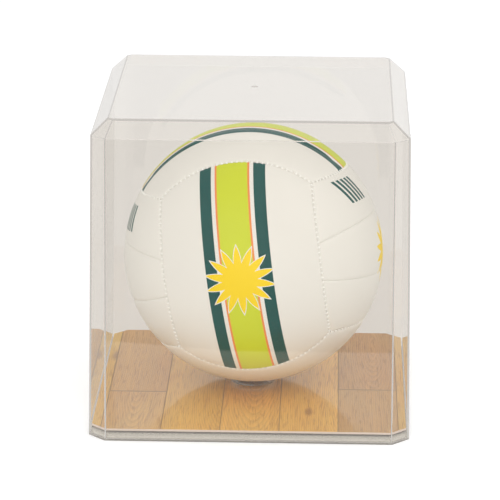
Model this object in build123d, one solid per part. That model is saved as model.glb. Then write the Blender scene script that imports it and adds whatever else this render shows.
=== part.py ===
from build123d import *
import math
import os

os.makedirs("parts", exist_ok=True)

# A volleyball in a clear display case. Millimetres, +Z up, the front faces -Y.
# The origin is the middle of the case's foot, on the surface that it stands on.

# The ball
BALL_DIAMETER = 208.0
PANEL_THICKNESS = 2.6
LINING_THICKNESS = 2.0
BLADDER_THICKNESS = 1.2
LAYER_FIT = 0.2  # between panels, lining and bladder
SEAM_GAP = 0.5  # between neighbouring panels
PANEL_FACET = 8.0  # the panels' round walls are flat facets of this angle, in degrees
LINER_FACET = 12.0  # and those of the lining and the bladder
FACE_EDGE_ANGLE = 36.7  # from a face's middle to the middle of its long side, in degrees
MIDDLE_STRIP_ANGLE = 13.5  # from a face's middle to the seam of its middle strip, in degrees

# The rubber valve, in the middle strip of the back face
VALVE_STEM_DIAMETER = 8.0
VALVE_FLANGE_DIAMETER = 17.0
VALVE_FLANGE_THICKNESS = 1.6
VALVE_FIT = 0.15
VALVE_SUNK = 0.4  # its end lies this far below the ball's surface
NEEDLE_HOLE_DIAMETER = 1.8
NEEDLE_HOLE_DEPTH = 4.5

# How the ball lies in the case, in degrees about the case's own axes, in this order
BALL_NOD = -6.72  # about X
BALL_ROLL = -8.10  # about Y
BALL_SWING = -3.72  # about Z

# The ring under the ball
RING_DIAMETER = 37.0
RING_BORE = 25.0
RING_HEIGHT = 4.5
RING_SEAT_DIAMETER = 33.0  # where the ball's seat meets the ring's flat top
RING_EDGE_BEVEL = 0.5
BALL_FIT = 0.3  # between the ball and its seat

# The clear cover
SIDE_ROOM = 18.5  # from the ball to the cover's wall, at the foot
HEADROOM = 30.5  # from the ball up to the cover's top
COVER_WALL = 2.5
COVER_DRAFT = 0.81  # how far the walls lean in, in degrees
CORNER_LEG = 13.3  # what the clipped corner takes off each side, at the foot
BEVEL_INSET = 13.0
BEVEL_DROP = 12.5
COVER_EDGE_RADIUS = 0.8
GATE_DIMPLE_DIAMETER = 5.0
GATE_DIMPLE_DEPTH = 0.4
GATE_STUB_DIAMETER = 1.3
GATE_STUB_HEIGHT = 0.25

# The clear base tray
FLANGE_THICKNESS = 1.5
PLATFORM_HEIGHT = 6.0  # above the flange
TRAY_WALL = 2.0
COVER_FIT = 0.4  # between the platform and the cover
TRAY_EDGE_BEVEL = 0.4

# The wood floor
BACKING_THICKNESS = 0.8
STRIP_THICKNESS = 1.2
FLOOR_INSET = 0.3  # from the platform's edge
LANES = 5
EDGE_STRIP_WIDTH = 6.7
LANE_SHIFT = 0.6  # the lanes lie this far off the middle, to the right
LEFT_CROSS_JOINT = -35.0  # how far back the cross joint of the first lane lies
RIGHT_CROSS_JOINT = -24.0  # and that of the last lane
STRIP_BEVEL = 0.25

# Places worked out from the sizes
ball_radius = BALL_DIAMETER / 2
panel_dip = math.cos(math.radians(PANEL_FACET / 2)) ** 2  # how far in a facet's middle lies, as a share
liner_dip = math.cos(math.radians(LINER_FACET / 2)) ** 2
lining_radius = (ball_radius - PANEL_THICKNESS) * panel_dip - LAYER_FIT
bladder_radius = (lining_radius - LINING_THICKNESS) * liner_dip - LAYER_FIT
lean = math.tan(math.radians(COVER_DRAFT))
foot_half = ball_radius + SIDE_ROOM + COVER_WALL
platform_top = FLANGE_THICKNESS + PLATFORM_HEIGHT
backing_top = platform_top + BACKING_THICKNESS
floor_top = backing_top + STRIP_THICKNESS
ring_top = floor_top + RING_HEIGHT
seat_sphere = ball_radius + BALL_FIT
ball_centre = ring_top + math.sqrt(seat_sphere**2 - (RING_SEAT_DIAMETER / 2) ** 2)
cover_top = ball_centre + ball_radius + HEADROOM + COVER_WALL
shoulder = cover_top - BEVEL_DROP
platform_half = foot_half - COVER_WALL / math.cos(math.radians(COVER_DRAFT)) - COVER_FIT
floor_half = platform_half - PLATFORM_HEIGHT * lean - FLOOR_INSET


def clipped_square(half):
    """A square with clipped corners. Its outline is the foot's, moved in by the same amount all round."""
    leg = CORNER_LEG - (2 - math.sqrt(2)) * (foot_half - half)
    points = []
    for quarter in range(4):
        for y in (leg - half, half - leg):
            points.append(Vector(half, y).rotate(Axis.Z, 90 * quarter))
    return make_face(Polyline(*points, close=True))


def moulding(levels):
    """A solid with flat sides through clipped squares, each given as (height, half width)."""
    return loft([Plane.XY.offset(z) * clipped_square(half) for z, half in levels], ruled=True)


def cover():
    """The one-piece cover: drafted walls, a bevel all round the top, and the gate mark in the middle."""
    shoulder_half = foot_half - (shoulder - FLANGE_THICKNESS) * lean
    outside = moulding(
        [
            (FLANGE_THICKNESS, foot_half),
            (shoulder, shoulder_half),
            (cover_top, shoulder_half - BEVEL_INSET),
        ]
    )
    edges = outside.edges().filter_by(lambda edge: edge.center().Z > FLANGE_THICKNESS + COVER_EDGE_RADIUS)
    outside = fillet(edges, COVER_EDGE_RADIUS)

    wall_across = COVER_WALL / math.cos(math.radians(COVER_DRAFT))
    bevel_run = BEVEL_INSET / BEVEL_DROP
    bevel_across = COVER_WALL * math.hypot(1, bevel_run)
    inner_shoulder = shoulder + (wall_across - bevel_across) / (bevel_run - lean)
    inner_top = cover_top - COVER_WALL
    inside = moulding(
        [
            (FLANGE_THICKNESS, foot_half - wall_across),
            (inner_shoulder, foot_half - wall_across - (inner_shoulder - FLANGE_THICKNESS) * lean),
            (inner_top, shoulder_half - bevel_across - (inner_top - shoulder) * bevel_run),
        ]
    )
    gate_floor = cover_top - GATE_DIMPLE_DEPTH
    dimple = Pos(0, 0, gate_floor) * Cylinder(
        GATE_DIMPLE_DIAMETER / 2, COVER_WALL, align=(Align.CENTER, Align.CENTER, Align.MIN)
    )
    stub = Pos(0, 0, gate_floor) * Cylinder(
        GATE_STUB_DIAMETER / 2, GATE_STUB_HEIGHT, align=(Align.CENTER, Align.CENTER, Align.MIN)
    )
    return outside - inside - dimple + stub


def base_tray():
    """A thin flange under the cover's rim and a platform inside the cover, hollow from below."""
    flange = extrude(clipped_square(foot_half), FLANGE_THICKNESS)
    platform = moulding(
        [
            (0, platform_half),
            (FLANGE_THICKNESS, platform_half),
            (platform_top, platform_half - PLATFORM_HEIGHT * lean),
        ]
    )
    platform = chamfer(platform.edges().group_by(Axis.Z)[-1], TRAY_EDGE_BEVEL)
    pocket_half = platform_half - TRAY_WALL
    pocket_height = platform_top - TRAY_WALL
    pocket = moulding([(0, pocket_half), (pocket_height, pocket_half - pocket_height * lean)])
    return flange + platform - pocket


def floor_backing():
    """The board that carries the strips, as wide as the floor."""
    return Pos(0, 0, platform_top) * extrude(clipped_square(floor_half), BACKING_THICKNESS)


def floor_strips():
    """Each wood strip by name. Strips butt together, with a fine bevel along their long top edges."""
    floor = Pos(0, 0, backing_top) * extrude(clipped_square(floor_half), STRIP_THICKNESS)
    lane_width = 2 * (floor_half - EDGE_STRIP_WIDTH) / LANES
    first_seam = LANE_SHIFT - lane_width * LANES / 2
    seams = [first_seam + lane_width * lane for lane in range(LANES + 1)]
    edges = [-floor_half, *seams, floor_half]
    cross_joints = {1: LEFT_CROSS_JOINT, LANES: RIGHT_CROSS_JOINT}
    strips = {}
    for lane, (left, right) in enumerate(zip(edges[:-1], edges[1:])):
        name = "floor_strip_" + {0: "left_edge", LANES + 1: "right_edge"}.get(lane, str(lane))
        joint = cross_joints.get(lane)
        if joint is None:
            strips[name] = floor & lane_box(left, right, -floor_half, floor_half)
        else:
            strips[name + "_front"] = floor & lane_box(left, right, -floor_half, joint)
            strips[name + "_back"] = floor & lane_box(left, right, joint, floor_half)
    for name, strip in strips.items():
        long_edges = strip.edges().filter_by(Axis.Y).group_by(Axis.Z)[-1]
        strips[name] = chamfer(long_edges, STRIP_BEVEL)
    return strips


def lane_box(left, right, front, back):
    """The space of one strip, from seam to seam."""
    middle = Pos((left + right) / 2, (front + back) / 2, backing_top)
    return middle * Box(
        right - left, back - front, STRIP_THICKNESS, align=(Align.CENTER, Align.CENTER, Align.MIN)
    )


def ball_ring():
    """The ring on the floor. Its seat slopes as the ball does where the two come closest."""
    outer, bore, seat_edge = RING_DIAMETER / 2, RING_BORE / 2, RING_SEAT_DIAMETER / 2
    seat_middle = (bore + seat_edge) / 2
    slope = seat_middle / math.sqrt(seat_sphere**2 - seat_middle**2)
    outline = Polyline(
        (bore, floor_top),
        (outer, floor_top),
        (outer, ring_top - RING_EDGE_BEVEL),
        (outer - RING_EDGE_BEVEL, ring_top),
        (seat_edge, ring_top),
        (bore, ring_top - (seat_edge - bore) * slope),
        close=True,
    )
    return revolve(make_face(Plane.XZ * outline), Axis.Z)


# The ball's six faces lie as on a cube. A face's strips run along one axis and lie side by side
# across another. The two long outer seams of a face are circles that bow outwards.
# The ends of its strips are cut by the long seams of its neighbours.
CORNER_ANGLE = 45.0  # a face's corners lie this far round from its middle, in degrees


def beyond(normal, distance):
    """All that lies further out than a plane at that distance from the ball's middle."""
    reach = 2 * BALL_DIAMETER
    plane = Plane(origin=normal * distance, z_dir=normal)
    return plane * Box(reach, reach, reach, align=(Align.CENTER, Align.CENTER, Align.MIN))


def long_seam(outward, across):
    """The plane of a face's long outer seam: its normal, away from the face, and its distance."""
    corner = 1 / math.sqrt(3)  # a cube's corner, brought onto a sphere of radius 1
    bow_across = math.sin(math.radians(FACE_EDGE_ANGLE)) - corner
    bow_outward = math.cos(math.radians(FACE_EDGE_ANGLE)) - corner
    normal = (across * bow_outward - outward * bow_across).normalized()
    distance = ball_radius * corner * (bow_outward - bow_across) / math.hypot(bow_outward, bow_across)
    return normal, distance


def skin(rings):
    """A solid with flat faces through rings of points. A face between two rings has four corners."""
    faces = [Face(Wire.make_polygon(ring)) for ring in (rings[0], rings[-1])]
    for near, far in zip(rings, rings[1:]):
        for i in range(len(near)):
            faces.append(Face(Wire.make_polygon([near[i - 1], near[i], far[i], far[i - 1]])))
    return Solid(Shell(faces))


def on_ball(radius, swing, rise):
    """A point of the ball, so many degrees round from -X towards +Y and so many up."""
    return Vector(-radius, 0, 0).rotate(Axis.Y, rise).rotate(Axis.Z, -swing)


def wall_piece(first, last):
    """A piece of the ball's wall round Z, between two swings from -X that it reaches or passes."""
    steps = range(math.floor(first / PANEL_FACET), math.ceil(last / PANEL_FACET) + 1)
    reach = math.ceil((90 - FACE_EDGE_ANGLE) / PANEL_FACET)
    rises = [PANEL_FACET * i for i in range(-reach, reach + 1)]
    rings = []
    for step in steps:
        outer = [on_ball(ball_radius, PANEL_FACET * step, rise) for rise in rises]
        inner = [on_ball(ball_radius - PANEL_THICKNESS, PANEL_FACET * step, rise) for rise in reversed(rises)]
        rings.append(outer + inner)
    return skin(rings)


def plain_panels():
    """A whole face, its middle strip and a side strip. The face looks along -X and its strips run along Z."""
    outward, across, along = Vector(-1, 0, 0), Vector(0, 1, 0), Vector(0, 0, 1)
    half_gap = SEAM_GAP / 2
    face = wall_piece(-CORNER_ANGLE, CORNER_ANGLE)
    middle = wall_piece(-MIDDLE_STRIP_ANGLE, MIDDLE_STRIP_ANGLE)
    side = wall_piece(MIDDLE_STRIP_ANGLE, CORNER_ANGLE)
    for end in (along, -along):
        normal, distance = long_seam(end, outward)
        end_cut = beyond(-normal, -distance - half_gap)
        face -= end_cut
        middle -= end_cut
        side -= end_cut
    turn = math.radians(MIDDLE_STRIP_ANGLE)
    for hand in (across, -across):
        normal, distance = long_seam(outward, hand)
        face -= beyond(normal, distance - half_gap)
        middle -= beyond(hand * math.cos(turn) - outward * math.sin(turn), -half_gap)
    normal, distance = long_seam(outward, across)
    side -= beyond(normal, distance - half_gap)
    side -= beyond(outward * math.sin(turn) - across * math.cos(turn), -half_gap)
    return face, middle, side


def liner(radius, thickness):
    """A hollow ball with flat facets and a hole for the valve's stem."""
    turns = range(round(360 / LINER_FACET))
    rises = [LINER_FACET * i for i in range(1 - round(90 / LINER_FACET), round(90 / LINER_FACET))]
    skins = []
    for size in (radius, radius - thickness):
        skins.append(skin([[on_ball(size, LINER_FACET * i, rise) for i in turns] for rise in rises]))
    return skins[0] - skins[1] - valve_hole()


def valve_hole():
    """The way of the valve's stem through the ball's wall, along -X."""
    depth = ball_radius - (bladder_radius - BLADDER_THICKNESS) * liner_dip
    hole = Cylinder(VALVE_STEM_DIAMETER / 2 + VALVE_FIT, 2 * depth)
    return Pos(-ball_radius, 0, 0) * Rot(0, 90, 0) * hole


def valve():
    """A stem with a round needle hole, and a flange inside the bladder. It lies along -X."""
    flange_radius = VALVE_FLANGE_DIAMETER / 2
    cavity = (bladder_radius - BLADDER_THICKNESS) * liner_dip - VALVE_FIT
    flange_outside = math.sqrt(cavity**2 - flange_radius**2)
    stem_end = ball_radius - VALVE_SUNK
    stem_radius = VALVE_STEM_DIAMETER / 2
    flange_inside = flange_outside - VALVE_FLANGE_THICKNESS
    hole_floor = stem_end - NEEDLE_HOLE_DEPTH
    hole_radius = NEEDLE_HOLE_DIAMETER / 2
    outline = Polyline(
        (-flange_inside, 0),
        (-flange_inside, flange_radius),
        (-flange_outside, flange_radius),
        (-flange_outside, stem_radius),
        (-stem_end, stem_radius),
        (-stem_end, hole_radius),
        (-hole_floor, hole_radius),
        (-hole_floor, 0),
        close=True,
    )
    return revolve(make_face(outline), Axis.X)


def ball_place():
    """Where the ball lies and how it is turned."""
    turned = Rot(0, 0, BALL_SWING) * Rot(0, BALL_ROLL, 0) * Rot(BALL_NOD, 0, 0)
    return Pos(0, 0, ball_centre) * turned


def face_place(outward, along):
    """Where a plain panel goes on the ball, for a face that looks outward."""
    return ball_place() * Plane(origin=(0, 0, 0), x_dir=-outward, z_dir=along).location


def ball():
    """Each piece of the ball by name."""
    face, middle, side = plain_panels()
    x, y, z = Vector(1, 0, 0), Vector(0, 1, 0), Vector(0, 0, 1)
    other_side = Rot(180, 0, 0)
    pieces = {"ball_front_panel": face_place(-y, z) * face}
    faces = {
        "back": (y, z, "right", "left"),
        "left": (-x, y, "lower", "upper"),
        "right": (x, y, "upper", "lower"),
        "bottom": (-z, x, "back", "front"),
        "top": (z, x, "front", "back"),
    }
    for name, (outward, along, first, last) in faces.items():
        place = face_place(outward, along)
        strip = middle - valve_hole() if name == "back" else middle
        pieces[f"ball_{name}_strip_{first}"] = place * side
        pieces[f"ball_{name}_strip_middle"] = place * strip
        pieces[f"ball_{name}_strip_{last}"] = place * other_side * side
    back = face_place(y, z)
    pieces["ball_lining"] = back * liner(lining_radius, LINING_THICKNESS)
    pieces["ball_bladder"] = back * liner(bladder_radius, BLADDER_THICKNESS)
    pieces["ball_valve"] = back * valve()
    return pieces


nodes = {
    "cover": cover(),
    "base_tray": base_tray(),
    "floor_backing": floor_backing(),
    **floor_strips(),
    "ball_ring": ball_ring(),
    **ball(),
}
for node_name, node_shape in nodes.items():
    export_step(node_shape, f"parts/{node_name}.step")
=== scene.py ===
"""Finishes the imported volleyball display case: clear plastic, oak floor, stitched ball, stage and camera."""

import math

import bpy
import numpy as np
from mathutils import Matrix, Vector


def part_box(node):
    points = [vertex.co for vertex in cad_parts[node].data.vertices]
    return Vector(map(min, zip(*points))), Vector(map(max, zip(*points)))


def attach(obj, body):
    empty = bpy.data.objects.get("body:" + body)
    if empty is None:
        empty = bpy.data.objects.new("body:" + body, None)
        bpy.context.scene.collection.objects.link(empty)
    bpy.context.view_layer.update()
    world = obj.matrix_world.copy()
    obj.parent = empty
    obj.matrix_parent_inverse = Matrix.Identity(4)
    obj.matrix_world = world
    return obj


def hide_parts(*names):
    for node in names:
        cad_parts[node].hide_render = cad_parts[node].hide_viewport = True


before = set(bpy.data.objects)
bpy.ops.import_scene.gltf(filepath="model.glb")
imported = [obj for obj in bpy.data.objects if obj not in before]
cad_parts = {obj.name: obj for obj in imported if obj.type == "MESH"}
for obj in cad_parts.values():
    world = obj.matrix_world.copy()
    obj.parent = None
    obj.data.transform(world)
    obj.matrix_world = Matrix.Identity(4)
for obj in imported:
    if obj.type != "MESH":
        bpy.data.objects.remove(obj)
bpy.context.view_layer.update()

bl_info = {
    "name": "Volleyball Display Case",
    "version": (1, 0, 0),
    "blender": (4, 5, 0),
    "location": "3D View > Sidebar > Display Case",
    "description": "Finishes a clear display case, its wood floor and the stitched ball that it holds",
    "category": "Object",
}

MM = 0.001
VECTOR, COLOUR, FLOAT = "NodeSocketVector", "NodeSocketColor", "NodeSocketFloat"
# What each shader group puts out
FINISH = {"Colour": COLOUR, "Roughness": FLOAT, "Height": FLOAT}
PRINT_EDGE = 0.0002  # how soft the edge of a print is
SUN_RAYS = 14

# The ball's six faces lie as on a cube. Each row: face, the way it looks, the way its strips run,
# and the names of its strips from the side of (outward x along) to the other side.
BALL_FACES = {
    "front": ((0, -1, 0), (0, 0, 1), ("panel",)),
    "back": ((0, 1, 0), (0, 0, 1), ("strip_right", "strip_middle", "strip_left")),
    "left": ((-1, 0, 0), (0, 1, 0), ("strip_lower", "strip_middle", "strip_upper")),
    "right": ((1, 0, 0), (0, 1, 0), ("strip_upper", "strip_middle", "strip_lower")),
    "bottom": ((0, 0, -1), (1, 0, 0), ("strip_back", "strip_middle", "strip_front")),
    "top": ((0, 0, 1), (1, 0, 0), ("strip_front", "strip_middle", "strip_back")),
}


class CaseSizes(bpy.types.PropertyGroup):
    """Sizes of the looks that a user would change, in metres and radians."""

    ball_radius: bpy.props.FloatProperty(
        name="Ball Radius", description="Half the ball's width", default=0.104, unit="LENGTH"
    )
    seat_radius: bpy.props.FloatProperty(
        name="Seat Radius", description="Where the ring's seat meets its top", default=0.0165, unit="LENGTH"
    )
    seat_fit: bpy.props.FloatProperty(
        name="Seat Fit", description="Room between the ball and its seat", default=0.0003, unit="LENGTH"
    )
    ring_bore: bpy.props.FloatProperty(
        name="Ring Bore", description="The ring's inner radius", default=0.0125, unit="LENGTH"
    )
    ring_round: bpy.props.FloatProperty(
        name="Ring Round", description="The rounding of the ring's top edge", default=0.0006, unit="LENGTH"
    )
    nod: bpy.props.FloatProperty(
        name="Nod", description="Turn of the ball about X", default=math.radians(-6.72), subtype="ANGLE"
    )
    roll: bpy.props.FloatProperty(
        name="Roll", description="Turn of the ball about Y", default=math.radians(-8.10), subtype="ANGLE"
    )
    swing: bpy.props.FloatProperty(
        name="Swing", description="Turn of the ball about Z", default=math.radians(-3.72), subtype="ANGLE"
    )
    face_edge_angle: bpy.props.FloatProperty(
        name="Face Edge Angle",
        description="From a face's middle to the middle of its long side",
        default=math.radians(36.7),
        subtype="ANGLE",
    )
    middle_strip_angle: bpy.props.FloatProperty(
        name="Middle Strip Angle",
        description="From a face's middle to the seam of its middle strip",
        default=math.radians(13.5),
        subtype="ANGLE",
    )
    seam_gap: bpy.props.FloatProperty(
        name="Seam Gap", description="Between neighbouring panels", default=0.0001, unit="LENGTH"
    )
    seam_roll: bpy.props.FloatProperty(
        name="Seam Roll", description="Width of a panel's rolled edge", default=0.0023, unit="LENGTH"
    )
    seam_depth: bpy.props.FloatProperty(
        name="Seam Depth", description="Depth of a stitched seam", default=0.0009, unit="LENGTH"
    )
    glued_seam_depth: bpy.props.FloatProperty(
        name="Glued Seam Depth", description="Depth of a seam inside a face", default=0.00055, unit="LENGTH"
    )
    panel_swell: bpy.props.FloatProperty(
        name="Panel Swell", description="Drop of the padding near a seam", default=0.00035, unit="LENGTH"
    )
    grid_pitch: bpy.props.FloatProperty(
        name="Grid Pitch", description="Spacing of a panel's mesh lines", default=0.0026, unit="LENGTH"
    )
    stitch_pitch: bpy.props.FloatProperty(
        name="Stitch Pitch", description="Spacing of stitches along a seam", default=0.0040, unit="LENGTH"
    )
    stitch_length: bpy.props.FloatProperty(
        name="Stitch Length", description="Reach of a stitch across its seam", default=0.0031, unit="LENGTH"
    )
    thread_radius: bpy.props.FloatProperty(
        name="Thread Radius", description="Half the sewing thread's width", default=0.00064, unit="LENGTH"
    )
    valve_radius: bpy.props.FloatProperty(
        name="Valve Hole Radius", description="Hole round the valve's stem", default=0.00415, unit="LENGTH"
    )
    stripe_half: bpy.props.FloatProperty(
        name="Stripe Half Width", description="Half the bright stripe's width", default=0.012, unit="LENGTH"
    )
    pinstripe: bpy.props.FloatProperty(
        name="Pinstripe", description="Width of the line at the stripe's edge", default=0.0016, unit="LENGTH"
    )
    stripe_gap: bpy.props.FloatProperty(
        name="Stripe Gap", description="Bare band beside the pinstripe", default=0.003, unit="LENGTH"
    )
    side_stripe: bpy.props.FloatProperty(
        name="Side Stripe", description="Width of each dark stripe", default=0.0092, unit="LENGTH"
    )
    sun_radius: bpy.props.FloatProperty(
        name="Sun Radius", description="Reach of the printed sunburst's rays", default=0.027, unit="LENGTH"
    )


class CaseColours(bpy.types.PropertyGroup):
    """Linear colours of the finishes."""

    clear: bpy.props.FloatVectorProperty(
        name="Clear Plastic", description="Tint of clear walls", subtype="COLOR", default=(0.91, 0.885, 0.85)
    )
    # A painted glow that stands in for light caught inside the clear walls.
    painted_edge_glow: bpy.props.FloatVectorProperty(
        name="Clear Edge", description="Light trapped inside", subtype="COLOR", default=(0.60, 0.575, 0.545)
    )
    # The tray's walls are tinted darker than the cover: partly the plastic's own tint, partly painted shade
    # for the hollow under its platform.
    tray: bpy.props.FloatVectorProperty(
        name="Tray", description="Tint of the tray's walls", subtype="COLOR", default=(0.80, 0.77, 0.71)
    )
    # Painted shade: the tray's flange and the top of its platform are tinted darker, where less light gets in.
    tray_shade: bpy.props.FloatVectorProperty(
        name="Tray Shade",
        description="Tint of the tray's flange and of its platform's top edge",
        subtype="COLOR",
        default=(0.48, 0.455, 0.415),
    )
    # The ring is tinted dark grey, darker than the other clear parts, which darkens the band under the ball.
    ring: bpy.props.FloatVectorProperty(
        name="Ring", description="Tint of the smoky ring", subtype="COLOR", default=(0.50, 0.50, 0.46)
    )
    leather: bpy.props.FloatVectorProperty(
        name="Leather", description="Cream cover of the ball", subtype="COLOR", default=(0.868, 0.853, 0.805)
    )
    lime: bpy.props.FloatVectorProperty(
        name="Lime", description="The bright stripe", subtype="COLOR", default=(0.65, 0.73, 0.035)
    )
    teal: bpy.props.FloatVectorProperty(
        name="Teal", description="The dark stripes and bars", subtype="COLOR", default=(0.010, 0.097, 0.090)
    )
    orange: bpy.props.FloatVectorProperty(
        name="Orange", description="The pinstripes", subtype="COLOR", default=(0.90, 0.30, 0.09)
    )
    yellow: bpy.props.FloatVectorProperty(
        name="Yellow", description="The sunburst", subtype="COLOR", default=(1.0, 0.72, 0.01)
    )
    oak: bpy.props.FloatVectorProperty(
        name="Oak", description="The floor's middle tone", subtype="COLOR", default=(0.77, 0.45, 0.104)
    )
    board: bpy.props.FloatVectorProperty(
        name="Board", description="Pale board and cut edges", subtype="COLOR", default=(0.72, 0.60, 0.52)
    )
    thread: bpy.props.FloatVectorProperty(
        name="Thread", description="The sewing thread", subtype="COLOR", default=(0.985, 0.98, 0.95)
    )


def sizes():
    return bpy.context.scene.case_sizes


def colours():
    return bpy.context.scene.case_colours


# Building nodes


def add(tree, kind, inputs=None, **settings):
    """A node with its settings. Its inputs, by name or number, are joined to sockets or set to values."""
    made = tree.nodes.new(kind)
    for name, value in settings.items():
        setattr(made, name, value)
    for name, value in (inputs or {}).items():
        feed(tree, made.inputs[name], value)
    return made


def feed(tree, socket, value):
    """Joins a socket to another, or sets its value."""
    if isinstance(value, bpy.types.NodeSocket):
        tree.links.new(value, socket)
    elif socket.type == "RGBA":
        socket.default_value = (*value[:3], 1)
    else:
        socket.default_value = value


def math_out(tree, operation, *values):
    """The result of one Math node."""
    return add(tree, "ShaderNodeMath", dict(enumerate(values)), operation=operation).outputs[0]


def scale_out(tree, colour, gain):
    """A colour times one number."""
    return add(tree, "ShaderNodeVectorMath", {0: colour, "Scale": gain}, operation="SCALE").outputs[0]


def blend_out(tree, factor, first, second):
    """The second colour over the first, by a factor."""
    return add(tree, "ShaderNodeMix", {0: factor, 6: first, 7: second}, data_type="RGBA").outputs[2]


def ramp_out(tree, factor, stops):
    """A colour ramp through (position, colour) stops."""
    made = add(tree, "ShaderNodeValToRGB", {"Fac": factor})
    elements = made.color_ramp.elements
    while len(elements) < len(stops):
        elements.new(0.5)
    for element, (position, colour) in zip(elements, stops):
        element.position = position
        element.color = (*colour, 1)
    return made.outputs["Color"]


def below(tree, value, edge, soft):
    """One where the value is under the edge, falling to nothing over the soft width."""
    inputs = {"Value": value, "From Min": edge, "From Max": edge + soft, "To Min": 1.0, "To Max": 0.0}
    return add(tree, "ShaderNodeMapRange", inputs).outputs["Result"]


def new_group(name, inputs):
    """An empty shader group that takes a place and puts out a finish, with its input and output nodes."""
    tree = bpy.data.node_groups.new(name, "ShaderNodeTree")
    for way, sockets in (("INPUT", {"Vector": VECTOR, **inputs}), ("OUTPUT", FINISH)):
        for socket_name, kind in sockets.items():
            tree.interface.new_socket(name=socket_name, in_out=way, socket_type=kind)
    return tree, tree.nodes.new("NodeGroupInput"), tree.nodes.new("NodeGroupOutput")


def put_out(tree, result, *sockets):
    """Joins a colour, a roughness and a height to a group's outputs."""
    for name, socket in zip(FINISH, sockets):
        tree.links.new(socket, result.inputs[name])


def place_group(tree, name, where, inputs):
    """The named group as a node of this tree."""
    return add(tree, "ShaderNodeGroup", {"Vector": where, **inputs}, node_tree=bpy.data.node_groups[name])


def mottled(tree, where, scale, colour, amount, roughness):
    """A colour and a roughness that change slowly, as a node of this tree."""
    inputs = {"Scale": scale, "Colour": colour, "Amount": amount, "Roughness": roughness}
    return place_group(tree, "Mottle", where, inputs)


def new_material(name, values=None):
    """A material, its tree, its Principled shader with those values, and its object coordinates."""
    material = bpy.data.materials.new(name)
    material.use_nodes = True
    tree = material.node_tree
    tree.nodes.clear()
    shader = add(tree, "ShaderNodeBsdfPrincipled", values)
    tree.nodes.new("ShaderNodeOutputMaterial")
    show(tree, shader.outputs["BSDF"])
    return material, tree, shader, tree.nodes.new("ShaderNodeTexCoord").outputs["Object"]


def bump_to(tree, shader, height, strength, distance):
    """Feeds a height into the shader's normal."""
    bump = add(tree, "ShaderNodeBump", {"Height": height, "Strength": strength, "Distance": distance})
    tree.links.new(bump.outputs["Normal"], shader.inputs["Normal"])


def wear(tree, shader, finish, strength, distance, colour=None):
    """Gives the shader a group's finish, with another colour in place of the group's where one is given."""
    tree.links.new(finish.outputs["Colour"] if colour is None else colour, shader.inputs["Base Color"])
    tree.links.new(finish.outputs["Roughness"], shader.inputs["Roughness"])
    bump_to(tree, shader, finish.outputs["Height"], strength, distance)


def mixed(tree, factor, first, second):
    """The second shader over the first, by a factor."""
    return add(tree, "ShaderNodeMixShader", {0: factor, 1: first, 2: second}).outputs[0]


def show(tree, surface):
    """Makes a shader the surface of its material."""
    output = next(node for node in tree.nodes if node.bl_idname == "ShaderNodeOutputMaterial")
    tree.links.new(surface, output.inputs["Surface"])


# Effects that several materials share


def make_groups():
    make_mottle_group()
    make_grain_group()
    make_leather_group()


def make_mottle_group():
    """Slow changes of tone and gloss, as handling and moulding leave them."""
    gloss_change = 1.5  # how much the roughness changes for a change of tone
    inputs = {"Scale": FLOAT, "Colour": COLOUR, "Amount": FLOAT, "Roughness": FLOAT}
    tree, source, result = new_group("Mottle", inputs)
    where, scale, colour, amount, roughness = source.outputs[:5]
    settings = {"Vector": where, "Scale": scale, "Detail": 4.0, "Roughness": 0.55}
    noise = add(tree, "ShaderNodeTexNoise", settings).outputs["Fac"]
    change = math_out(tree, "MULTIPLY", math_out(tree, "SUBTRACT", noise, 0.5), amount)
    tinted = scale_out(tree, colour, math_out(tree, "ADD", change, 1.0))
    put_out(tree, result, tinted, math_out(tree, "MULTIPLY_ADD", change, gloss_change, roughness), noise)


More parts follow.
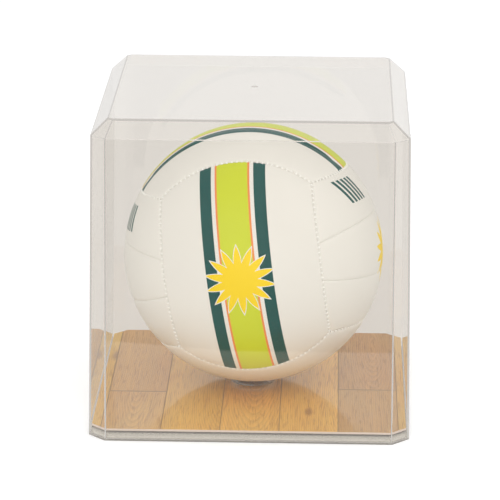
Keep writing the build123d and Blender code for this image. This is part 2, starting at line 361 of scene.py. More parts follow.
def make_grain_group():
    """Flat-sawn oak along Y: growth rings that arch about a heart line, fibres, pores and a knot."""
    inputs = {"Shift": VECTOR, "Oak": COLOUR, "Heart": VECTOR, "Knot": VECTOR, "Knot Size": FLOAT}
    tree, source, result = new_group("OakGrain", inputs)
    where, shift, oak, heart, knot, knot_size = source.outputs[:6]
    rings_per_metre = 620.0
    ring_stretch, knot_stretch = (1.0, 0.13, 0.0), (1.0, 0.36, 0.0)
    drift_push, knot_push, knot_fade = 3.5, 2.6, -0.45  # in rings, and how fast a knot's push fades
    ring_share, fibre_share, band_share = -0.27, 0.46, 0.40
    rosy, pale = (1.0, 0.955, 0.90), (1.0, 1.03, 1.04)
    pore_tint, pore_share = (0.62, 0.54, 0.46), 0.55
    scar_tint, scar_share = (0.40, 0.30, 0.25), 0.8
    crack_wander, crack_share = 0.008, 0.55
    fibre_rough, smoothest = 0.12, 0.30
    fibre_height, pore_depth = 0.35, 0.6

    def vector_math(operation, *values):
        made = add(tree, "ShaderNodeVectorMath", dict(enumerate(values)), operation=operation)
        return made.outputs["Value"] if operation == "LENGTH" else made.outputs[0]

    place = vector_math("ADD", where, shift)

    def stretched(across, along, detail, distortion=0.0):
        at = vector_math("MULTIPLY", place, (across, along, across))
        settings = {"Vector": at, "Scale": 1.0, "Detail": detail, "Distortion": distortion}
        return add(tree, "ShaderNodeTexNoise", settings).outputs["Fac"]

    def reach(offset, stretch):
        return vector_math("LENGTH", vector_math("MULTIPLY", offset, stretch))

    drift = stretched(20.0, 8.0, 2.0)
    fibres = stretched(620.0, 11.0, 3.0)
    bands = stretched(70.0, 2.6, 3.0, 0.3)
    pores = below(tree, stretched(1100.0, 60.0, 1.0), 0.36, 0.07)

    to_knot = vector_math("SUBTRACT", where, knot)
    from_knot = math_out(tree, "DIVIDE", reach(to_knot, knot_stretch), knot_size)
    pull = math_out(tree, "EXPONENT", math_out(tree, "MULTIPLY", from_knot, knot_fade))
    ring = reach(vector_math("SUBTRACT", where, heart), ring_stretch)
    ring = math_out(tree, "MULTIPLY", ring, rings_per_metre)
    ring = math_out(tree, "MULTIPLY_ADD", drift, drift_push, ring)
    ring = math_out(tree, "FRACT", math_out(tree, "MULTIPLY_ADD", pull, knot_push, ring))
    growth = below(tree, ring, 0.02, 0.75)

    tone = math_out(tree, "MULTIPLY", growth, ring_share)
    tone = math_out(tree, "MULTIPLY_ADD", fibres, fibre_share, tone)
    tone = math_out(tree, "MULTIPLY_ADD", bands, band_share, tone)
    settings = {"Value": tone, "From Min": 0.1, "From Max": 0.6, "To Min": 0.82, "To Max": 1.18}
    light = scale_out(tree, oak, add(tree, "ShaderNodeMapRange", settings).outputs["Result"])
    rosy_light, pale_light = (vector_math("MULTIPLY", light, tint) for tint in (rosy, pale))
    light = blend_out(tree, below(tree, drift, 0.42, 0.2), rosy_light, pale_light)
    in_pores = vector_math("MULTIPLY", light, pore_tint)
    colour = blend_out(tree, math_out(tree, "MULTIPLY", pores, pore_share), light, in_pores)

    sides = add(tree, "ShaderNodeSeparateXYZ", {"Vector": to_knot})
    wander = math_out(tree, "SUBTRACT", drift, 0.5)
    crooked = math_out(tree, "MULTIPLY_ADD", wander, crack_wander, sides.outputs["X"])
    crack = below(tree, math_out(tree, "ABSOLUTE", crooked), 0.0001, 0.0007)
    crack = math_out(tree, "MULTIPLY", crack, below(tree, from_knot, 1.5, 3.5))
    crack = math_out(tree, "MULTIPLY", crack, crack_share)
    scar = math_out(tree, "MAXIMUM", below(tree, from_knot, 0.45, 0.8), crack)
    scar = math_out(tree, "MULTIPLY", scar, scar_share)
    colour = blend_out(tree, scar, colour, vector_math("MULTIPLY", light, scar_tint))

    rough = math_out(tree, "MULTIPLY_ADD", fibres, fibre_rough, smoothest)
    high = math_out(tree, "MULTIPLY", fibres, fibre_height)
    deep = math_out(tree, "MULTIPLY", pores, pore_depth)
    put_out(tree, result, colour, rough, math_out(tree, "SUBTRACT", high, deep))


def make_leather_group():
    """Fine pebbled grain of soft coated leather, with faint handling marks."""
    pebble_height, crease_height, padding_height = -0.5, 0.5, 1.4
    tree, source, result = new_group("LeatherGrain", {"Colour": COLOUR})
    where, colour = source.outputs[:2]
    pebbles = add(tree, "ShaderNodeTexVoronoi", {"Vector": where, "Scale": 900.0}, feature="SMOOTH_F1")
    creases = add(tree, "ShaderNodeTexNoise", {"Vector": where, "Scale": 380.0, "Detail": 3.0})
    padding = add(tree, "ShaderNodeTexNoise", {"Vector": where, "Scale": 34.0, "Detail": 2.0})
    mottle = mottled(tree, where, 17.0, colour, 0.045, 0.40)
    height = math_out(tree, "MULTIPLY", pebbles.outputs["Distance"], pebble_height)
    height = math_out(tree, "MULTIPLY_ADD", creases.outputs["Fac"], crease_height, height)
    height = math_out(tree, "MULTIPLY_ADD", padding.outputs["Fac"], padding_height, height)
    put_out(tree, result, mottle.outputs["Colour"], mottle.outputs["Roughness"], height)


# Materials


def clear_material(name, tint, clearness=1.0, shade=None):
    """Clear moulded plastic. Lamps and soft light pass straight through it. Where a ray has reflected twice
    inside it, a painted grey glow stands in for light caught in its walls.

    A shade is a function that makes the tint depend on height, to paint shade into it.
    """
    values = {"Metallic": 0.0, "Transmission Weight": clearness, "IOR": 1.49}
    material, tree, shader, where = new_material(name, values)
    if shade is not None:
        tint = shade(tree, where, tint)
    wear(tree, shader, mottled(tree, where, 9.0, tint, 0.012, 0.004), 0.10, 0.00012)
    path = tree.nodes.new("ShaderNodeLightPath")
    # Painted light: a grey glow where rays have reflected twice inside the plastic, in place of light caught
    # in its walls.
    painted_glow = add(tree, "ShaderNodeEmission", {"Color": colours().painted_edge_glow, "Strength": 1.0})
    reflected_twice = math_out(tree, "GREATER_THAN", path.outputs["Glossy Depth"], 1.5)
    edge = mixed(tree, reflected_twice, shader.outputs["BSDF"], painted_glow.outputs[0])
    passing = add(tree, "ShaderNodeBsdfTransparent", {"Color": (0.985, 0.98, 0.97)})
    light_ray = math_out(tree, "MAXIMUM", path.outputs["Is Shadow Ray"], path.outputs["Is Diffuse Ray"])
    show(tree, mixed(tree, light_ray, edge, passing.outputs[0]))
    return material


def tray_shade(tree, where, tint):
    """Painted shade: the tray's tint, deeper in its flange and towards its platform's top, where less light
    gets in.
    """
    flange_end, wall_start = 0.17, 0.25  # as shares of the tray's height
    height = add(tree, "ShaderNodeSeparateXYZ", {"Vector": where}).outputs["Z"]
    share = math_out(tree, "DIVIDE", height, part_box("base_tray")[1][2])
    # The deep tint is painted shade.
    deep = tuple(colours().tray_shade)
    return ramp_out(tree, share, [(0.0, deep), (flange_end, deep), (wall_start, tuple(tint)), (1.0, deep)])


def joint_sides(box):
    """A strip's box, with the sides that meet no other strip moved away, as only joints are dark."""
    near, away = 0.001, 0.01  # how near the board's edge an outer side lies, and how far it is moved
    low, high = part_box("floor_backing")
    sides = [list(box[0]), list(box[1])]
    for axis in (0, 1):
        if box[0][axis] < low[axis] + near:
            sides[0][axis] -= away
        if box[1][axis] > high[axis] - near:
            sides[1][axis] += away
    return sides


def oak_material(name, box, shift, tint, heart, knot, knot_size):
    """One oak strip under gloss lacquer, dark along its joints and pale where it is cut off below."""
    joint_line, joint_soft = 0.0002, 0.0004
    joint_share, joint_tone = 0.7, 0.28
    cross_joint = 0.4  # an inset's share at a joint across the grain, which makes its line wider
    lacquered = 0.0004  # how far down from its top a strip has its finish
    values = {"Specular IOR Level": 0.2, "Coat Weight": 0.8, "Coat Roughness": 0.09}
    material, tree, shader, where = new_material(name, values)
    oak = tuple(part * own_part for part, own_part in zip(colours().oak, tint))
    inputs = {"Shift": shift, "Oak": oak, "Heart": heart, "Knot": knot, "Knot Size": knot_size}
    grain = place_group(tree, "OakGrain", where, inputs)
    axes = add(tree, "ShaderNodeSeparateXYZ", {"Vector": where})
    insets = []
    for axis, low, high in zip("XY", *joint_sides(box)):
        from_middle = math_out(tree, "SUBTRACT", axes.outputs[axis], (low + high) / 2)
        insets.append(math_out(tree, "SUBTRACT", (high - low) / 2, math_out(tree, "ABSOLUTE", from_middle)))
    insets[1] = math_out(tree, "MULTIPLY", insets[1], cross_joint)
    inset = math_out(tree, "MINIMUM", *insets)
    edge = math_out(tree, "MULTIPLY", below(tree, inset, joint_line, joint_soft), joint_share)
    dark = tuple(part * joint_tone for part in colours().oak)
    colour = blend_out(tree, edge, grain.outputs["Colour"], dark)
    cut = below(tree, axes.outputs["Z"], box[1][2] - lacquered, 0.0001)
    wear(tree, shader, grain, 0.30, 0.0001, blend_out(tree, cut, colour, colours().board))
    return material


def leather_material(name, prints=()):
    """Cream coated leather. Each print adds its colours over the last by the ball's own coordinates."""
    material, tree, shader, where = new_material(name)
    colour = colours().leather
    axes = add(tree, "ShaderNodeSeparateXYZ", {"Vector": where})
    for paint in prints:
        colour = paint(tree, axes, colour)
    wear(tree, shader, place_group(tree, "LeatherGrain", where, {"Colour": colour}), 0.30, 0.00016)
    return material


def stripes(axis):
    """A bright middle stripe with pinstripes, bare gaps and a dark stripe on each side, across one axis."""

    def paint(tree, axes, colour):
        own = sizes()
        across = math_out(tree, "ABSOLUTE", axes.outputs[axis])

        def within(half):
            return below(tree, across, half, PRINT_EDGE)

        start = own.stripe_half + own.pinstripe + own.stripe_gap
        dark = math_out(tree, "SUBTRACT", within(start + own.side_stripe), within(start))
        colour = blend_out(tree, dark, colour, colours().teal)
        colour = blend_out(tree, within(own.stripe_half + own.pinstripe), colour, colours().orange)
        return blend_out(tree, within(own.stripe_half), colour, colours().lime)

    return paint


def offsets(tree, axes, names, middle):
    """How far a point lies from the middle of a print, along two axes."""
    return [math_out(tree, "SUBTRACT", axes.outputs[name], at) for name, at in zip(names, middle)]


def sunburst(names, middle):
    """A plain printed sun with pointed rays, inside a bare line."""

    def paint(tree, axes, colour):
        bare_line = 0.0016
        radius = sizes().sun_radius
        x, y = offsets(tree, axes, names, middle)
        squares = [math_out(tree, "MULTIPLY", side, side) for side in (x, y)]
        reach = math_out(tree, "SQRT", math_out(tree, "ADD", *squares))
        angle = math_out(tree, "ARCTAN2", y, x)
        turn = math_out(tree, "MULTIPLY_ADD", angle, SUN_RAYS / math.tau, SUN_RAYS)
        saw = math_out(tree, "SUBTRACT", math_out(tree, "FRACT", turn), 0.5)
        edge = math_out(tree, "MULTIPLY_ADD", math_out(tree, "ABSOLUTE", saw), -radius, radius)
        past = math_out(tree, "SUBTRACT", reach, edge)
        colour = blend_out(tree, below(tree, past, bare_line, PRINT_EDGE), colour, colours().leather)
        return blend_out(tree, below(tree, past, 0.0, PRINT_EDGE), colour, colours().yellow)

    return paint


def bars(names, middle, lean):
    """Five short leaning bars."""

    def paint(tree, axes, colour):
        count, pitch, width, half_height = 5, 0.0056, 0.0031, 0.0095
        ahead = 10.5  # keeps the steps above nothing and puts a bar in the middle
        x, y = offsets(tree, axes, names, middle)
        along = math_out(tree, "MULTIPLY_ADD", y, lean, x)
        step = math_out(tree, "FRACT", math_out(tree, "MULTIPLY_ADD", along, 1 / pitch, ahead))
        from_bar = math_out(tree, "ABSOLUTE", math_out(tree, "SUBTRACT", step, 0.5))
        bar = below(tree, from_bar, width / pitch / 2, 0.03)
        inside = below(tree, math_out(tree, "ABSOLUTE", along), count / 2 * pitch, PRINT_EDGE)
        short = below(tree, math_out(tree, "ABSOLUTE", y), half_height, PRINT_EDGE)
        mask = math_out(tree, "MULTIPLY", math_out(tree, "MULTIPLY", bar, inside), short)
        return blend_out(tree, mask, colour, colours().teal)

    return paint


def plain_material(name, colour, roughness, scale, amount):
    """A dull finish with a slow change of tone."""
    material, tree, shader, where = new_material(name)
    wear(tree, shader, mottled(tree, where, scale, colour, amount, roughness), 0.2, 0.0003)
    return material


def cloth_material():
    """Plain woven backing cloth: two sets of threads that cross, with painted shade in the gaps between them.
    """
    shaded_gaps, on_threads = (0.50, 0.48, 0.42), (0.72, 0.70, 0.64)
    material, tree, shader, where = new_material("lining_cloth", {"Roughness": 0.9})
    settings = {"Vector": where, "Scale": 320.0}
    warp = add(tree, "ShaderNodeTexWave", settings, bands_direction="X")
    weft = add(tree, "ShaderNodeTexWave", settings, bands_direction="Z")
    # Painted shade: the gaps of the weave are darker than the threads.
    weave = math_out(tree, "MULTIPLY", warp.outputs["Fac"], weft.outputs["Fac"])
    tree.links.new(ramp_out(tree, weave, [(0.0, shaded_gaps), (1.0, on_threads)]), shader.inputs["Base Color"])
    bump_to(tree, shader, weave, 0.4, 0.0002)
    return material


# Meshes


def mesh_object(name, vertices, faces, material, smooth=True):
    """A new object from points and faces."""
    mesh = bpy.data.meshes.new(name)
    mesh.from_pydata([tuple(v) for v in vertices], [], [tuple(f) for f in faces])
    mesh.validate()
    mesh.polygons.foreach_set("use_smooth", [smooth] * len(mesh.polygons))
    mesh.materials.append(material)
    mesh.update()
    made = bpy.data.objects.new(name, mesh)
    bpy.context.collection.objects.link(made)
    return made


def ball_centre():
    """Where the ball's middle lies, from the ring that it rests on."""
    own = sizes()
    ring_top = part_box("ball_ring")[1][2]
    return Vector((0, 0, ring_top + math.sqrt((own.ball_radius + own.seat_fit) ** 2 - own.seat_radius**2)))


def turned(*turns):
    """A turn made of several, each an angle and its axis, the last of them carried out first."""
    whole = Matrix.Identity(4)
    for angle, axis in turns:
        whole = whole @ Matrix.Rotation(angle, 4, axis)
    return whole


def ball_matrix():
    """The ball's place and turn."""
    own = sizes()
    return Matrix.Translation(ball_centre()) @ turned((own.swing, "Z"), (own.roll, "Y"), (own.nod, "X"))


def seam_planes():
    """Seam planes of a face, each as its parts across and outward and its distance, in unit normals."""
    own = sizes()
    corner = 1 / math.sqrt(3)
    bow_across = math.sin(own.face_edge_angle) - corner
    bow_outward = math.cos(own.face_edge_angle) - corner
    size = math.hypot(bow_across, bow_outward)
    distance = own.ball_radius * corner * (bow_outward - bow_across) / size
    outer = (bow_outward / size, -bow_across / size, distance)
    inner = (math.cos(own.middle_strip_angle), -math.sin(own.middle_strip_angle), 0.0)
    mirrored = [(plane[0], -plane[1], -plane[2]) for plane in (inner, outer)]
    return [outer, inner, *mirrored]


def fine_steps(length, pitch):
    """Distances along a panel from edge to edge, closer near both edges, where it rolls down."""
    near = [step * MM for step in (0.0, 0.12, 0.3, 0.55, 0.85, 1.2, 1.65, 2.4)]
    count = max(2, round((length - 2 * near[-1]) / pitch))
    middle = [near[-1] + (length - 2 * near[-1]) * i / count for i in range(1, count)]
    return np.array(near + middle + [length - step for step in reversed(near)])


def face_axes(face):
    """The outward, along and across directions of a face of the ball."""
    outward, along = (np.array(v, float) for v in BALL_FACES[face][:2])
    return outward, along, np.cross(outward, along)


def end_angle(lean, distance):
    """How far round its circle a line of the face ends, at the neighbour's long seam."""
    own = sizes()
    outward_part, along_part, seam_distance = seam_planes()[0]
    radius = math.sqrt(own.ball_radius**2 - distance**2)
    first = radius * math.cos(lean) * outward_part
    second = radius * along_part
    rest = seam_distance + own.seam_gap / 2 - distance * math.sin(lean) * outward_part
    return math.atan2(second, first) + math.acos(rest / math.hypot(first, second))


def panel_points(face, first_plane, last_plane, pitch):
    """Rows of points over a panel on the ball, their distances from its four seams, and each one's depth."""
    own = sizes()
    outward, along, across = face_axes(face)
    half_gap = own.seam_gap / 2
    first = (first_plane[0], first_plane[1], first_plane[2] - half_gap)
    last = (last_plane[0], last_plane[1], last_plane[2] + half_gap)
    planes = (first, last)
    lean = [math.atan2(plane[1], plane[0]) for plane in planes]
    swings = [math.asin(plane[2] / own.ball_radius) - angle for plane, angle in zip(planes, lean)]
    width = own.ball_radius * abs(swings[0] - swings[1])
    shares = fine_steps(width, pitch) / width
    longest = 2 * own.ball_radius * max(end_angle(angle, plane[2]) for plane, angle in zip(planes, lean))
    steps = fine_steps(longest, pitch) / longest * 2 - 1
    rows = []
    for share in shares:
        angle = lean[0] + (lean[1] - lean[0]) * share
        distance = first[2] + (last[2] - first[2]) * share
        normal = across * math.cos(angle) + outward * math.sin(angle)
        toward = outward * math.cos(angle) - across * math.sin(angle)
        radius = math.sqrt(own.ball_radius**2 - distance**2)
        turns = steps * end_angle(angle, distance)
        arc = np.cos(turns)[:, None] * toward + np.sin(turns)[:, None] * along
        rows.append(normal * distance + radius * arc)
    points = np.array(rows)
    unit = points / own.ball_radius
    outer = seam_planes()[0]
    gaps = []
    for plane, sign in ((first, 1), (last, -1)):
        at = unit @ (across * plane[0] + outward * plane[1])
        gaps.append(sign * (math.asin(plane[2] / own.ball_radius) - np.arcsin(np.clip(at, -1, 1))))
    for side in (along, -along):
        at = unit @ (outward * outer[0] + side * outer[1])
        gaps.append(np.arcsin(np.clip(at, -1, 1)) - math.asin((outer[2] + half_gap) / own.ball_radius))
    depths = [own.seam_depth if abs(plane[2]) > own.seam_gap else own.glued_seam_depth for plane in planes]
    depths += [own.seam_depth, own.seam_depth]
    return points, np.clip(np.array(gaps), 0, None) * own.ball_radius, depths


def rolled(points, gaps, depths):
    """The points brought in towards the ball's middle where the panel rolls down into its seams."""
    swell_reach = 0.0045  # how far from a seam the padding's drop fades
    own = sizes()
    drop = np.zeros(points.shape[:2])
    for gap, depth in zip(gaps, depths):
        share = np.clip(1 - gap / own.seam_roll, 0, 1)
        drop = np.hypot(drop, depth * share**2)
    drop = np.minimum(drop, own.seam_depth)
    nearest = gaps.min(axis=0)
    drop = drop + own.panel_swell * np.exp(-nearest / swell_reach)
    return points * (1 - drop / own.ball_radius)[..., None]


def panel_mesh(points, gaps, depths, hole=None):
    """Vertices and faces of a panel's outer skin, with a skirt down into the seams."""
    skirt = 0.0011  # how far its sides reach below the deepest seam
    own = sizes()
    outer = rolled(points, gaps, depths)
    rows, columns = outer.shape[:2]
    vertices = list(outer.reshape(-1, 3))
    faces = []
    for i in range(rows - 1):
        for j in range(columns - 1):
            corner = i * columns + j
            faces.append((corner, corner + columns, corner + columns + 1, corner + 1))
    if hole is not None:
        faces = cut_hole(vertices, faces, *hole)
    counts = {}
    for face in faces:
        for a, b in zip(face, face[1:] + face[:1]):
            key = (min(a, b), max(a, b))
            counts.setdefault(key, []).append((a, b))
    floor = own.ball_radius - own.seam_depth - skirt
    under = {}
    for edges in counts.values():
        if len(edges) > 1:
            continue
        a, b = edges[0]
        for end in (a, b):
            if end not in under:
                under[end] = len(vertices)
                vertices.append(vertices[end] * (floor / np.linalg.norm(vertices[end])))
        faces.append((b, a, under[a], under[b]))
    return vertices, faces


def cut_hole(vertices, faces, middle, radius):
    """Drops the faces over a round hole and brings the points at its edge onto its circle."""
    middle = np.array(middle, float)
    away = {}

    def reach(index):
        if index not in away:
            offset = vertices[index] - middle * np.dot(vertices[index], middle)
            away[index] = np.linalg.norm(offset)
        return away[index]

    kept, dropped = [], set()
    for face in faces:
        if min(reach(i) for i in face) < radius:
            dropped.update(face)
        else:
            kept.append(face)
    rim = dropped & {i for face in kept for i in face}
    for index in rim:
        height = middle * np.dot(vertices[index], middle)
        offset = vertices[index] - height
        moved = height + offset * (radius / np.linalg.norm(offset))
        vertices[index] = moved / np.linalg.norm(moved) * np.linalg.norm(vertices[index])
    return kept


def seam_line(face, other):
    """Points spaced along the seam between two faces, with the seam's own direction at each."""
    own = sizes()
    outward = face_axes(face)[0]
    side = np.array(BALL_FACES[other][0], float)
    plane = seam_planes()[0]
    normal = side * plane[0] + outward * plane[1]
    toward = outward * plane[0] - side * plane[1]
    along = np.cross(normal, toward)
    radius = math.sqrt(own.ball_radius**2 - plane[2] ** 2)
    corner = (outward + side + np.cross(outward, side)) / math.sqrt(3) * own.ball_radius
    end = math.atan2(abs(corner @ along), corner @ toward)
    count = round(2 * end * radius / own.stitch_pitch)
    places = []
    for i in range(count):
        turn = -end + 2 * end * (i + 0.5) / count
        point = normal * plane[2] + radius * (toward * math.cos(turn) + along * math.sin(turn))
        tangent = along * math.cos(turn) - toward * math.sin(turn)
        places.append((point / np.linalg.norm(point), tangent))
    return places


def stitch_mesh(places):
    """Short thread loops that cross a seam, each an arched tube."""
    own = sizes()
    sides, rings = 6, 5
    flatness = 1.5  # how much wider than high the thread is pressed
    lift, dip = 0.0001, 0.0005  # above the ball at a stitch's middle, and down again at its ends
    end_size = 0.06  # the least share of the thread's section, where it dives into the leather
    vertices, faces = [], []
    for up, tangent in places:
        across = np.cross(up, tangent)
        start = len(vertices)
        for ring in range(rings):
            share = ring / (rings - 1) * 2 - 1
            size = own.thread_radius * math.sqrt(max(end_size, 1 - share**4))
            sunk = own.thread_radius - lift + dip * share**2
            middle = up * (own.ball_radius - sunk) + across * (share * own.stitch_length / 2)
            for side in range(sides):
                turn = math.tau * side / sides
                vertices.append(middle + size * (math.cos(turn) * tangent * flatness + math.sin(turn) * up))
        for ring in range(rings - 1):
            for side in range(sides):
                a = start + ring * sides + side
                b = start + ring * sides + (side + 1) % sides
                faces.append((a, b, b + sides, a + sides))
        faces.append(tuple(start + s for s in reversed(range(sides))))
        faces.append(tuple(start + (rings - 1) * sides + s for s in range(sides)))
    return vertices, faces


def revolved(profile, count):
    """A closed ring from a closed profile of (radius, height) points."""
    vertices, faces = [], []
    size = len(profile)
    for i in range(count):
        turn = math.tau * i / count
        for radius, height in profile:
            vertices.append((radius * math.cos(turn), radius * math.sin(turn), height))
    for i in range(count):
        for j in range(size):
            a, b = i * size + j, i * size + (j + 1) % size
            c, d = (i + 1) % count * size + (j + 1) % size, (i + 1) % count * size + j
            faces.append((a, d, c, b))
    return vertices, faces


def ring_profile():
    """The ring's section: a flat foot, a rounded top edge, and a seat that follows the ball."""
    round_steps, seat_steps = 6, 4
    own = sizes()
    low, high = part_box("ball_ring")
    outer = (high[0] - low[0]) / 2
    seat_ball = own.ball_radius + own.seat_fit
    middle = ball_centre()[2]
    profile = [(own.ring_bore, low[2]), (outer, low[2])]
    for i in range(round_steps + 1):
        turn = math.radians(90 / round_steps * i)
        out, up = own.ring_round * math.cos(turn), own.ring_round * math.sin(turn)
        profile.append((outer - own.ring_round + out, high[2] - own.ring_round + up))
    for i in range(seat_steps + 1):
        radius = own.seat_radius + (own.ring_bore - own.seat_radius) * i / seat_steps
        profile.append((radius, middle - math.sqrt(seat_ball**2 - radius**2)))
    return profile


def dress(node, material):
    """Gives a CAD node its material."""
    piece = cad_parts[node]
    piece.data.materials.clear()
    piece.data.materials.append(material)


# Operators


class CASE_OT_clear_parts(bpy.types.Operator):
    """Finish the clear cover and base tray, and make the ring under the ball"""

    bl_idname = "case.clear_parts"
    bl_label = "Clear Parts"

    def execute(self, context):
        ring_sides, sharp = 96, math.radians(40)
        dress("cover", clear_material("clear_cover", colours().clear))
        dress("base_tray", clear_material("clear_tray", colours().tray, 0.72, tray_shade))
        mesh = revolved(ring_profile(), ring_sides)
        ring = mesh_object("clear_ball_ring", *mesh, clear_material("clear_ring", colours().ring))
        ring.data.set_sharp_from_angle(angle=sharp)
        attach(ring, "ball_ring")
        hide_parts("ball_ring")
        return {"FINISHED"}


class CASE_OT_wood_floor(bpy.types.Operator):
    """Give each wood strip its own run of grain, and the board its finish"""

    bl_idname = "case.wood_floor"
    bl_label = "Wood Floor"

    def execute(self, context):
        floor_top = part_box("floor_strip_2")[1][2]
        # Each strip's tint, and where the heart line of its tree lies
        strips = {
            "left_edge": ((0.98, 1.00, 0.95), (-0.160, 0.02)),
            "1_front": ((0.82, 0.78, 1.00), (-0.092, -0.020)),
            "1_back": ((0.82, 0.74, 0.92), (-0.150, 0.070)),
            "2": ((1.00, 0.97, 0.85), (-0.020, -0.020)),
            "3": ((1.05, 0.99, 0.95), (0.003, 0.045)),
            "4": ((1.01, 0.99, 0.92), (0.075, -0.045)),
            "5_front": ((0.69, 0.67, 0.88), (0.140, -0.060)),
            "5_back": ((0.70, 0.63, 0.80), (0.098, 0.085)),
            "right_edge": ((0.90, 0.90, 0.95), (0.160, 0.0)),
        }
        # Place and size of each knot. The other strips' knots lie too far off to show.
        knots = {
            "left_edge": ((-0.1140, 0.0530, floor_top), 0.0050),
            "4": ((0.0462, -0.0780, floor_top), 0.0034),
        }
        no_knot = ((0.0, 0.0, 9.0), 0.001)
        shift_step = (0.31, 0.57, 0.13)  # from one strip to the next, so that no two have the same grain
        for i, (part, (tint, heart)) in enumerate(strips.items()):
            node = "floor_strip_" + part
            shift = tuple(step * i for step in shift_step)
            knot = knots.get(part, no_knot)
            dress(node, oak_material("oak_" + node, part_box(node), shift, tint, (*heart, 0.0), *knot))
        dress("floor_backing", plain_material("backing_board", colours().board, 0.8, 300.0, 0.12))
        return {"FINISHED"}


class CASE_OT_ball_cover(bpy.types.Operator):
    """Make the ball's stitched leather panels with rolled edges, and the thread in the outer seams"""

    bl_idname = "case.ball_cover"
    bl_label = "Ball Cover"

    def execute(self, context):
        place = ball_matrix()
        make_panels(place)
        make_stitches(place)
        return {"FINISHED"}


def printed_materials():
    """The leathers that carry a print, by the node that they go on."""
    top = leather_material("leather_top", [stripes("Y")])
    front_sun = sunburst("XZ", (0.0, -0.004))
    side_sun = sunburst("YZ", (0.004, -0.008))
    right_bars = bars("YZ", (-0.031, 0.047), 0.35)
    left_bars = bars("YZ", (-0.026, 0.043), -0.35)
    return {
        "ball_front_panel": leather_material("leather_front", [stripes("X"), front_sun]),
        **dict.fromkeys(["ball_top_strip_" + part for part in ("front", "middle", "back")], top),
        "ball_right_strip_upper": leather_material("leather_right_upper", [right_bars]),
        "ball_right_strip_middle": leather_material("leather_right", [side_sun]),
        "ball_right_strip_lower": leather_material("leather_right_lower", [side_sun]),
        "ball_left_strip_upper": leather_material("leather_left_upper", [left_bars]),
    }


def make_panels(place):
    """Every panel of the ball, with rolled edges. The one round the valve has a finer mesh and a hole."""
    own = sizes()
    plain = leather_material("leather_plain")
    printed = printed_materials()
    planes = seam_planes()
    for face, (_, _, parts) in BALL_FACES.items():
        edges = [(planes[0], planes[3])] if len(parts) == 1 else list(zip(planes[:-1], planes[1:]))
        for part, (first, last) in zip(parts, edges):
            node = f"ball_{face}_{part}"
            with_valve = node == "ball_back_strip_middle"
            pitch = own.grid_pitch / 2 if with_valve else own.grid_pitch
            hole = ((0, 1, 0), own.valve_radius) if with_valve else None
            mesh = panel_mesh(*panel_points(face, first, last, pitch), hole)
            panel = mesh_object(node + "_leather", *mesh, printed.get(node, plain))
            panel.matrix_world = place
            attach(panel, "ball")
            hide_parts(node)


def make_stitches(place):
    """The sewing thread in the seams between the ball's faces."""
    places = []
    for face in BALL_FACES:
        across = face_axes(face)[2]
        for other in BALL_FACES:
            if abs(np.dot(across, BALL_FACES[other][0])) > 0.5:
                places += seam_line(face, other)
    thread = plain_material("sewing_thread", colours().thread, 0.55, 900.0, 0.15)
    stitches = mesh_object("ball_stitches", *stitch_mesh(places), thread)
    stitches.matrix_world = place
    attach(stitches, "ball")


class CASE_OT_ball_inside(bpy.types.Operator):
    """Finish the ball's lining, bladder and valve"""

    bl_idname = "case.ball_inside"
    bl_label = "Ball Inside"

    def execute(self, context):
        dress("ball_lining", cloth_material())
        dress("ball_bladder", plain_material("bladder_rubber", (0.02, 0.02, 0.02), 0.5, 60.0, 0.4))
        dress("ball_valve", plain_material("valve_rubber", (0.045, 0.045, 0.045), 0.6, 400.0, 0.4))
        return {"FINISHED"}


class CASE_OT_stage(bpy.types.Operator):
    """Set up the pale floor, the soft lights and the camera"""

    bl_idname = "case.stage"
    bl_label = "Stage"

    def execute(self, context):
        make_floor()
        make_world()
        softbox("key_softbox", (-0.8, -2.1, 1.7), 1.8, 13.0)
        softbox("fill_softbox", (1.7, -0.4, 1.9), 1.6, 9.0)
        softbox("low_softbox", (0.1, -2.3, 0.40), 1.0, 5.0)
        make_camera()
        bpy.context.scene.view_settings.view_transform = "Standard"
        return {"FINISHED"}


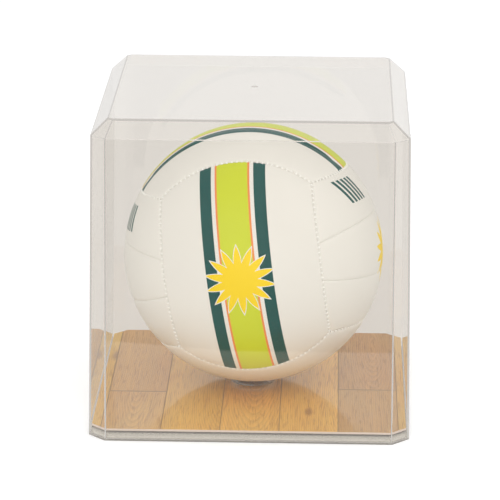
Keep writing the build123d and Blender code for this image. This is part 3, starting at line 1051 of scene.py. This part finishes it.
def make_floor():
    """A wide pale floor. Reflections see it bright close to the case and painted dim further in front, a
    painted reflection of a darker room. Seen through plastic it is mostly an even painted glow, which lightens
    the shadow under the case.
    """
    half_width, sunk = 6.0, 0.0002
    dark_start, bend, slope = -0.368, -0.024, 0.228  # where the painted dim reflection starts, and how its edge bends
    side_end, side_soft = 0.22, 0.4  # where the painted dim reflection fades out to both sides
    bright, painted_dim_reflection = (0.92, 0.92, 0.92), (0.16, 0.155, 0.15)
    lift, even_share = 0.16, 0.7  # light added for the camera, and how much of it is an even painted glow through plastic
    values = {"Roughness": 0.7, "Specular IOR Level": 0.1, "Emission Color": (1, 1, 1)}
    material, tree, shader, where = new_material("stage_floor", {"Base Color": (0.96, 0.96, 0.96), **values})
    path = tree.nodes.new("ShaderNodeLightPath")
    reflected = math_out(tree, "GREATER_THAN", path.outputs["Glossy Depth"], 0.5)
    reflected = math_out(tree, "MULTIPLY", reflected, path.outputs["Is Glossy Ray"])
    axes = add(tree, "ShaderNodeSeparateXYZ", {"Vector": where})
    past_bend = math_out(tree, "MINIMUM", math_out(tree, "SUBTRACT", axes.outputs["X"], bend), 0.0)
    forward = math_out(tree, "MULTIPLY_ADD", past_bend, -slope, axes.outputs["Y"])
    sideways = math_out(tree, "ABSOLUTE", axes.outputs["X"])
    # Painted reflection: the floor is dim only to reflected rays, in place of the darker room in front of the
    # case.
    dark = math_out(tree, "MULTIPLY", below(tree, forward, dark_start, 0.004), reflected)
    dark = math_out(tree, "MULTIPLY", dark, below(tree, sideways, side_end, side_soft))
    even = add(tree, "ShaderNodeEmission", {"Color": blend_out(tree, dark, bright, painted_dim_reflection), "Strength": 1.0})
    seen = math_out(tree, "MULTIPLY", path.outputs["Is Camera Ray"], lift)
    tree.links.new(seen, shader.inputs["Emission Strength"])
    # Painted light: seen through plastic, the floor is mostly an even glow, which lightens its shadow under
    # the case.
    through = math_out(tree, "MULTIPLY", path.outputs["Is Transmission Ray"], even_share)
    factor = math_out(tree, "MAXIMUM", reflected, through)
    show(tree, mixed(tree, factor, shader.outputs["BSDF"], even.outputs[0]))
    corners = [(x * half_width, y * half_width, 0) for x, y in ((-1, -1), (1, -1), (1, 1), (-1, 1))]
    floor = mesh_object("stage_floor", corners, [(0, 1, 2, 3)], material, smooth=False)
    floor.location.z = -sunk


def make_world():
    """Even white surroundings, a little dimmer as a light than as a background."""
    as_light, as_background = 0.88, 1.0
    world = bpy.data.worlds.new("studio")
    world.use_nodes = True
    tree = world.node_tree
    tree.nodes.clear()
    path = tree.nodes.new("ShaderNodeLightPath")
    direct = math_out(tree, "MAXIMUM", path.outputs["Is Camera Ray"], path.outputs["Is Transmission Ray"])
    seen = math_out(tree, "MAXIMUM", direct, path.outputs["Is Glossy Ray"])
    strength = add(tree, "ShaderNodeMapRange", {"Value": seen, "To Min": as_light, "To Max": as_background})
    settings = {"Color": (1, 1, 1), "Strength": strength.outputs["Result"]}
    background = add(tree, "ShaderNodeBackground", settings)
    add(tree, "ShaderNodeOutputWorld", {"Surface": background.outputs[0]})
    bpy.context.scene.world = world


def softbox(name, place, size, power):
    """A square soft lamp that faces the middle of the case. Camera and transmitted rays don't see it."""
    aim = Vector((0, 0, 0.12))
    lamp = bpy.data.lights.new(name, "AREA")
    lamp.size = size
    lamp.energy = power
    made = bpy.data.objects.new(name, lamp)
    made.location = place
    made.rotation_euler = (aim - Vector(place)).to_track_quat("-Z", "Y").to_euler()
    made.visible_camera = False
    made.visible_transmission = False
    bpy.context.collection.objects.link(made)


def make_camera():
    """The camera at the photograph's place, aim and lens."""
    place = (0.0624, -2.2666, 0.8014)
    yaw, pitch, roll = math.radians(-1.652), math.radians(16.756), math.radians(0.297)
    lens = bpy.data.cameras.new("camera")
    lens.sensor_width = 36.0
    lens.lens = 211.6
    lens.clip_start = 0.05
    lens.clip_end = 60.0
    camera = bpy.data.objects.new("camera", lens)
    aim = turned((-yaw, "Z"), (math.pi / 2 - pitch, "X"), (roll, "Z"))
    camera.matrix_world = Matrix.Translation(place) @ aim
    bpy.context.collection.objects.link(camera)
    bpy.context.scene.camera = camera


class CASE_PT_sidebar(bpy.types.Panel):
    """Lists the steps and the values of the display case"""

    bl_idname = "CASE_PT_sidebar"
    bl_label = "Display Case"
    bl_space_type = "VIEW_3D"
    bl_region_type = "UI"
    bl_category = "Display Case"

    def draw(self, context):
        layout = self.layout
        for operator in OPERATORS:
            layout.operator(operator.bl_idname)
        for group in (context.scene.case_sizes, context.scene.case_colours):
            for name in group.__annotations__:
                layout.prop(group, name)


OPERATORS = (CASE_OT_clear_parts, CASE_OT_wood_floor, CASE_OT_ball_cover, CASE_OT_ball_inside, CASE_OT_stage)
CLASSES = (CaseSizes, CaseColours, *OPERATORS, CASE_PT_sidebar)


def register():
    for cls in CLASSES:
        bpy.utils.register_class(cls)
    bpy.types.Scene.case_sizes = bpy.props.PointerProperty(type=CaseSizes)
    bpy.types.Scene.case_colours = bpy.props.PointerProperty(type=CaseColours)


def unregister():
    del bpy.types.Scene.case_colours
    del bpy.types.Scene.case_sizes
    for cls in reversed(CLASSES):
        bpy.utils.unregister_class(cls)


def main():
    """Makes every piece."""
    register()
    make_groups()
    bpy.ops.case.clear_parts()
    bpy.ops.case.wood_floor()
    bpy.ops.case.ball_cover()
    bpy.ops.case.ball_inside()
    bpy.ops.case.stage()
    bpy.context.view_layer.update()


if __name__ == "__main__":
    main()
